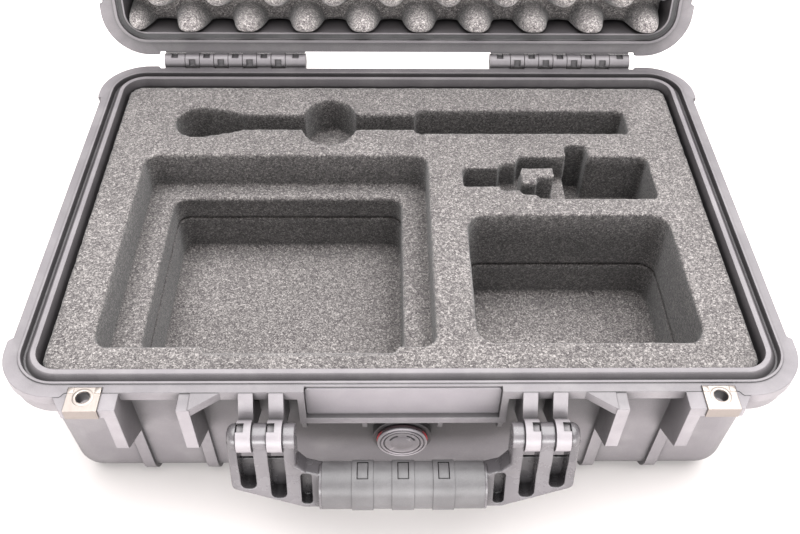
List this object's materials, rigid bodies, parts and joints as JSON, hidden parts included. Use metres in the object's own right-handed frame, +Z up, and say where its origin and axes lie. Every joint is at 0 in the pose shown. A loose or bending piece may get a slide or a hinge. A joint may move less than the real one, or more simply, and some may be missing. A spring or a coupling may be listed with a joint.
{
  "type": "carrying case",
  "caption": "Hard plastic carrying case standing open, with a hinged lid, draw latches, a swinging handle and foam cut out for an antenna set.",
  "frame": {"origin": "centre of the resting face, under the middle of the base's opening", "axes": "+X to the case's right seen from its front, +Y from the handle to the hinges, +Z up"},
  "size_m": [0.4622, 0.4664, 0.4764],
  "materials": {
    "shell_plastic": "matte",
    "handle_plastic": "satin",
    "grip_rubber": "matte",
    "base_foam": "matte",
    "lid_foam": "matte",
    "gasket_rubber": "matte",
    "ring_rubber": "satin",
    "membrane": "matte",
    "steel": "satin",
    "plate_aluminium": "satin"
  },
  "bodies": {
    "base": {"base_shell": "shell_plastic", "nameplate": "plate_aluminium", "valve_cap": "shell_plastic", "valve_ring": "ring_rubber", "valve_stem": "shell_plastic", "valve_membrane": "membrane", "foam_lower": "base_foam", "foam_upper": "base_foam", "base_padlock_plate_left": "steel", "base_padlock_plate_right": "steel", "hinge_pin_left": "steel", "hinge_pin_right": "steel", "handle_pin_left": "steel", "handle_pin_right": "steel"},
    "lid": {"lid_shell": "shell_plastic", "lid_gasket": "gasket_rubber", "lid_foam": "lid_foam", "lid_padlock_plate_left": "steel", "lid_padlock_plate_right": "steel", "latch_pivot_pin_left": "steel", "latch_pivot_pin_right": "steel"},
    "lever_left": {"latch_lever_left": "handle_plastic", "latch_link_pin_left": "steel"},
    "lever_right": {"latch_lever_right": "handle_plastic", "latch_link_pin_right": "steel"},
    "claw_left": {"latch_claw_left": "handle_plastic"},
    "claw_right": {"latch_claw_right": "handle_plastic"},
    "handle": {"handle_frame": "handle_plastic", "handle_grip": "grip_rubber"}
  },
  "joints": [
    {"name": "lid_hinge", "type": "hinge", "parent": "base", "child": "lid", "pos_m": [0, 0.166, 0.119], "axis": [1, 0, 0], "range_deg": [0, 100]},
    {"name": "handle_swing", "type": "hinge", "parent": "base", "child": "handle", "pos_m": [0, -0.176, 0.1015], "axis": [-1, 0, 0], "range_deg": [-12, 78]},
    {"name": "latch_lever_left_pivot", "type": "hinge", "parent": "lid", "child": "lever_left", "pos_m": [-0.0801, 0.24141, 0.44587], "axis": [1, 0, 0], "range_deg": [0, 90]},
    {"name": "latch_claw_left_link", "type": "hinge", "parent": "lever_left", "child": "claw_left", "pos_m": [-0.0801, 0.23605, 0.43565], "axis": [1, 0, 0], "range_deg": [-10, 0]},
    {"name": "latch_lever_right_pivot", "type": "hinge", "parent": "lid", "child": "lever_right", "pos_m": [0.0801, 0.24141, 0.44587], "axis": [1, 0, 0], "range_deg": [0, 90]},
    {"name": "latch_claw_right_link", "type": "hinge", "parent": "lever_right", "child": "claw_right", "pos_m": [0.0801, 0.23605, 0.43565], "axis": [1, 0, 0], "range_deg": [-10, 0]}
  ],
  "couplings": [
    {"joint": "latch_claw_left_link", "follows": "latch_lever_left_pivot", "ratio": -0.1111},
    {"joint": "latch_claw_right_link", "follows": "latch_lever_right_pivot", "ratio": -0.1111}
  ]
}
